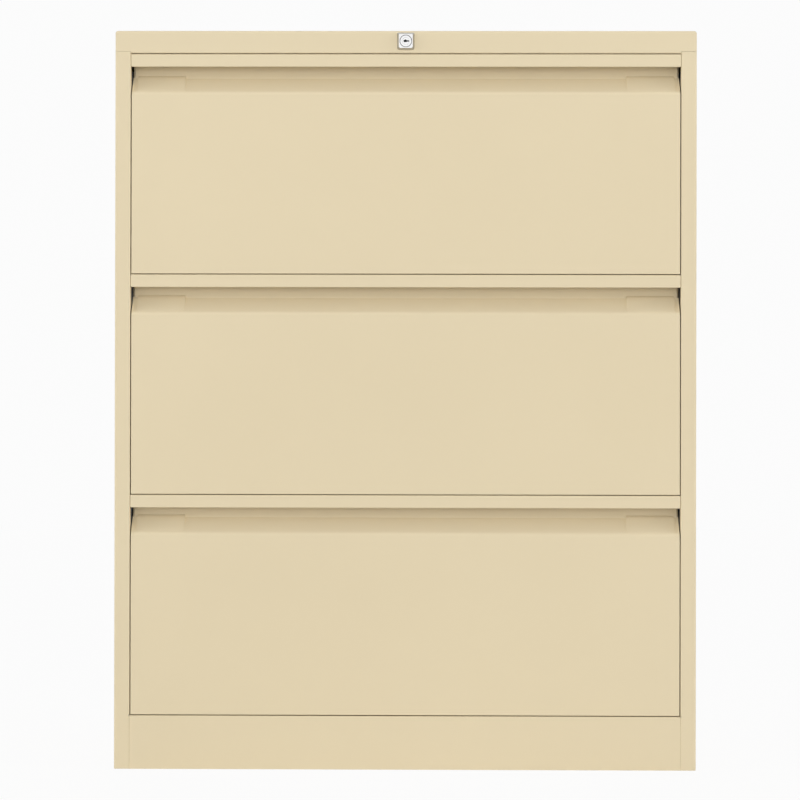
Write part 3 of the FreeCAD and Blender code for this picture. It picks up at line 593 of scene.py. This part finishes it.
def makePlug(place):
    build = bmesh.new()
    face = -housing["stand"] + plug["faceDrop"]
    profile = (
        (plug["radius"] - plug["rim"], face),
        (plug["radius"], face + plug["rim"]),
        (plug["radius"], plug["shoulder"]),
        (plug["tail"], plug["shoulder"]),
        (plug["tail"], plug["end"]),
        (0, plug["end"]),
    )
    spinProfile(build, profile, plug["steps"])
    corners = [build.verts.new((across, face, up)) for across, up in plug["keyway"]]
    outline = [build.edges.new(pair) for pair in zip(corners, corners[1:] + corners[:1])]
    made = bmesh.ops.extrude_edge_only(build, edges=outline)["geom"]
    inner = [item for item in made if isinstance(item, bmesh.types.BMVert)]
    walls = [item for item in made if isinstance(item, bmesh.types.BMFace)]
    far = [item for item in made if isinstance(item, bmesh.types.BMEdge)]
    bmesh.ops.translate(build, vec=(0, plug["keyDepth"], 0), verts=inner)
    floor = bmesh.ops.edgeloop_fill(build, edges=far)["faces"]
    # The keyway's walls and floor take the near-black painted shade
    for item in walls + floor:
        item.material_index = 1
    closeFlat(build, face)
    closed(build, place)
    finishPiece(build, "lock_plug_turned", "lock_plug", gapShade)


# A drawer's tray: one sheet folded up on four sides, with a hem turned in along the top
tray = {
    "sheet": 0.0008,
    "corner": 0.004,
    "fold": 0.0016,
    "hem": 0.008,
    "hemBend": 0.0009,
    "cornerSteps": 4,
    "bendSteps": 3,
}


def makeTray(node):
    low, high = (Vector(corner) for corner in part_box(node))
    middle, size = (low + high) / 2, high - low
    build = bmesh.new()
    bmesh.ops.create_cube(build, size=1)
    bmesh.ops.scale(build, vec=size, verts=build.verts)
    lid = [face for face in build.faces if face.normal.z > 0.5]
    bmesh.ops.delete(build, geom=lid, context="FACES_ONLY")
    upright = [edge for edge in build.edges if abs(edge.verts[0].co.z - edge.verts[1].co.z) > size.z / 2]
    roundEdges(build, upright, tray["corner"], tray["cornerSteps"])
    bottom = [face for face in build.faces if face.normal.z < -0.5]
    around = {edge for face in bottom for edge in face.edges}
    roundEdges(build, list(around), tray["fold"], tray["bendSteps"])
    rim = [edge for edge in build.edges if edge.is_boundary]
    made = bmesh.ops.extrude_edge_only(build, edges=rim)["geom"]
    inner = [item for item in made if isinstance(item, bmesh.types.BMVert)]
    share = [1 - 2 * tray["hem"] / side for side in (size.x, size.y)]
    bmesh.ops.scale(build, vec=(share[0], share[1], 1), verts=inner)
    roundEdges(build, [edge for edge in rim if edge.is_valid], tray["hemBend"], tray["bendSteps"])
    bmesh.ops.recalc_face_normals(build, faces=build.faces)
    bmesh.ops.solidify(build, geom=build.faces, thickness=tray["sheet"])
    closed(build, middle)
    finishPiece(build, node + "_folded", node)


def solidsOf(node):
    # The lowest and highest corner of each separate solid in a CAD node
    build = copyOf(node)
    seen = set()
    boxes = []
    for first in build.verts:
        if first in seen:
            continue
        seen.add(first)
        group = [first]
        for vert in group:
            for edge in vert.link_edges:
                other = edge.other_vert(vert)
                if other not in seen:
                    seen.add(other)
                    group.append(other)
        low = Vector([min(vert.co[axis] for vert in group) for axis in range(3)])
        high = Vector([max(vert.co[axis] for vert in group) for axis in range(3)])
        boxes.append((low, high))
    build.free()
    return boxes


def setOut(build, places):
    # One finished shape at each of several places
    shape = bpy.data.meshes.new("shape")
    build.to_mesh(shape)
    build.free()
    group = bmesh.new()
    for place in places:
        count = len(group.verts)
        group.from_mesh(shape)
        group.verts.ensure_lookup_table()
        bmesh.ops.transform(group, matrix=place, verts=group.verts[count:])
    bpy.data.meshes.remove(shape)
    return group


# Blind rivets that hold the back sheet: a domed head with the hole that the pulled pin leaves
rivet = {
    "pin": 0.0011,
    "pinDepth": 0.0007,
    "pinFloor": 0.9,  # the hole's floor and lip, as shares of its radius
    "pinLip": 1.15,
    "lipDrop": 0.0001,
    # The dome from the hole outwards, in shares of the head's radius and height
    "dome": ((0.504, 0.98), (0.72, 0.88), (0.92, 0.62), (1, 0.3)),
    "shank": 0.002,
    "head": 0.0012,
    "bulge": 0.0028,
    "bulgeLength": 0.0024,
    "bulgeFull": (0.7, 0.3),  # shares of that length between which it has its full width
    "steps": 24,
}


def makeRivets():
    boxes = solidsOf("back_rivets")
    low, high = boxes[0]
    radius = (high.x - low.x) / 2
    length = high.y - low.y
    head = rivet["head"]
    profile = (
        (0, head - rivet["pinDepth"]),
        (rivet["pin"] * rivet["pinFloor"], head - rivet["pinDepth"]),
        (rivet["pin"], head - rivet["lipDrop"]),
        (rivet["pin"] * rivet["pinLip"], head),
        *((radius * out, head * up) for out, up in rivet["dome"]),
        (radius, 0),
        (rivet["shank"], 0),
        (rivet["shank"], head + rivet["bulgeLength"] - length),
        *((rivet["bulge"], head + rivet["bulgeLength"] * share - length) for share in rivet["bulgeFull"]),
        (rivet["shank"], head - length),
        (0, head - length),
    )
    build = bmesh.new()
    spinProfile(build, profile, rivet["steps"])
    closed(build)
    places = [
        Matrix.Translation(((low.x + high.x) / 2, high.y - head, (low.z + high.z) / 2))
        for low, high in boxes
    ]
    finishPiece(setOut(build, places), "back_rivets_pulled", "back_rivets")


# Countersunk cross-head screws that hold the slides to the posts
screw = {
    "head": 0.0036,
    "shank": 0.002,
    "sink": 0.0012,
    "length": 0.007,
    "rim": 0.00015,
    "point": 0.0006,
    "crossLong": 0.0021,
    "crossWide": 0.00048,
    "crossDepth": 0.0011,
    "crossTaper": 0.45,
    "steps": 24,
}


def makeScrews():
    profile = (
        (screw["head"] - screw["rim"], 0),
        (screw["head"], screw["rim"]),
        (screw["shank"], screw["sink"]),
        (screw["shank"], screw["length"] - screw["point"]),
        (screw["shank"] - screw["point"], screw["length"]),
        (0, screw["length"]),
    )
    build = bmesh.new()
    spinProfile(build, profile, screw["steps"])
    far, near = screw["crossLong"], screw["crossWide"]
    arm = ((near, -near), (far, -near), (far, near))
    corners = []
    for quarter in range(4):
        turn = Matrix.Rotation(math.radians(90 * quarter), 2)
        spots = [turn @ Vector(spot) for spot in arm]
        corners += [build.verts.new((spot.x, 0, spot.y)) for spot in spots]
    outline = [build.edges.new(pair) for pair in zip(corners, corners[1:] + corners[:1])]
    made = bmesh.ops.extrude_edge_only(build, edges=outline)["geom"]
    inner = [item for item in made if isinstance(item, bmesh.types.BMVert)]
    deep = [item for item in made if isinstance(item, bmesh.types.BMEdge)]
    bmesh.ops.translate(build, vec=(0, screw["crossDepth"], 0), verts=inner)
    bmesh.ops.scale(build, vec=(screw["crossTaper"], 1, screw["crossTaper"]), verts=inner)
    bmesh.ops.edgeloop_fill(build, edges=deep)
    closeFlat(build, 0)
    closed(build)
    places = []
    for low, high in solidsOf("slide_screws"):
        side = 1 if low.x > 0 else -1
        face = Vector((low.x if side > 0 else high.x, (low.y + high.y) / 2, (low.z + high.z) / 2))
        places.append(Matrix.Translation(face) @ Matrix.Rotation(math.radians(-90 * side), 4, "Z"))
    finishPiece(setOut(build, places), "slide_screws_driven", "slide_screws")


# Rubber buffers behind the drawers: round blocks with a soft rim and a shallow hollow
buffer = {
    "front": 0.0052,
    "rim": 0.0011,
    "rimTurn": 0.3,  # share of the rim at which it turns
    "hollow": 0.0024,
    "hollowFloor": 0.8,  # share of the hollow that is flat
    "hollowDepth": 0.0006,
    "steps": 32,
}


def makeBuffers():
    boxes = solidsOf("drawer_buffers")
    low, high = boxes[0]
    radius, length = (high.x - low.x) / 2, high.y - low.y
    front, rim = buffer["front"], buffer["rim"]
    turn = rim * buffer["rimTurn"]
    profile = (
        (0, buffer["hollowDepth"]),
        (buffer["hollow"] * buffer["hollowFloor"], buffer["hollowDepth"]),
        (buffer["hollow"], 0),
        (front - rim, 0),
        (front - turn, turn),
        (front, rim),
        (radius, length - rim),
        (radius, length),
        (0, length),
    )
    build = bmesh.new()
    spinProfile(build, profile, buffer["steps"])
    closed(build)
    places = [
        Matrix.Translation(((low.x + high.x) / 2, low.y, (low.z + high.z) / 2))
        for low, high in boxes
    ]
    finishPiece(setOut(build, places), "drawer_buffers_moulded", "drawer_buffers")


# Levelling foot, up from its underside: pad, six-sided collar and threaded stem
foot = {
    "pad": 0.018,
    "padRim": 0.0008,
    "padWall": 0.004,
    "neck": 0.009,
    "padHeight": 0.008,
    "collar": 0.007,  # half its width across the flats
    "collarHeight": 0.004,
    "collarEdge": 0.0004,
    "edgeSteps": 2,
    "stem": 0.005,
    "root": 0.0044,
    "pitch": 0.0015,
    # One turn of the thread: where it is down at the root or out at the stem, in shares of the pitch
    "thread": (("root", 0.15), ("stem", 0.45), ("stem", 0.6), ("root", 0.9)),
    "tip": 0.001,
    "steps": 32,
}


def threadProfile(start, end):
    turns = int((end - foot["tip"] - start) / foot["pitch"])
    points = [(0, start), (foot["root"], start)]
    for turn in range(turns):
        base = start + turn * foot["pitch"]
        points += [(foot[radius], base + foot["pitch"] * share) for radius, share in foot["thread"]]
    points += [(foot["root"], end - foot["tip"]), (foot["root"] - foot["tip"], end), (0, end)]
    return points


def makeFoot(node):
    low, high = (Vector(corner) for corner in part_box(node))
    build = bmesh.new()
    top = foot["padHeight"]
    pad = (
        (0, 0),
        (foot["pad"] - foot["padRim"], 0),
        (foot["pad"], foot["padRim"]),
        (foot["pad"], foot["padWall"] - foot["padRim"]),
        (foot["pad"] - foot["padRim"], foot["padWall"]),
        (foot["neck"] + foot["padRim"], top - foot["padRim"] / 2),
        (foot["neck"], top),
        (0, top),
    )
    spinProfile(build, pad, foot["steps"])
    spinProfile(build, threadProfile(top + foot["collarHeight"], high.z - low.z), foot["steps"])
    upright = Matrix.Rotation(math.radians(90), 3, "X")
    bmesh.ops.rotate(build, cent=(0, 0, 0), matrix=upright, verts=build.verts)
    count = len(build.verts)
    corner = foot["collar"] / math.cos(math.radians(30))
    bmesh.ops.create_cone(
        build,
        cap_ends=True,
        segments=6,
        radius1=corner,
        radius2=corner,
        depth=foot["collarHeight"],
        matrix=Matrix.Translation((0, 0, top + foot["collarHeight"] / 2)),
    )
    build.verts.ensure_lookup_table()
    added = set(build.verts[count:])
    edges = [edge for edge in build.edges if edge.verts[0] in added]
    roundEdges(build, edges, foot["collarEdge"], foot["edgeSteps"])
    bmesh.ops.recalc_face_normals(build, faces=build.faces)
    place = ((low.x + high.x) / 2, (low.y + high.y) / 2, low.z)
    bmesh.ops.translate(build, vec=place, verts=build.verts)
    finishPiece(build, node + "_turned", node)


def dressNode(node):
    build = copyOf(node)
    if not node.endswith(edgeFinish["keptSharp"]):
        breakEdges(build)
    finishPiece(build, node + "_finished", node)


makePlug(makeHousing())
print("lock made")
for drawer in drawers:
    makeTray(f"drawer_{drawer}_tray")
print("trays folded")
feet = [node for node in sorted(nodes) if node.endswith("_leveller")]
for node in feet:
    makeFoot(node)
makeRivets()
makeScrews()
makeBuffers()
print("feet, rivets, screws and buffers made")
built = {"lock_housing", "lock_plug", "back_rivets", "slide_screws", "drawer_buffers", *feet}
built |= {f"drawer_{drawer}_tray" for drawer in drawers}
for node in sorted(set(nodes) - built):
    dressNode(node)
print("pieces dressed")
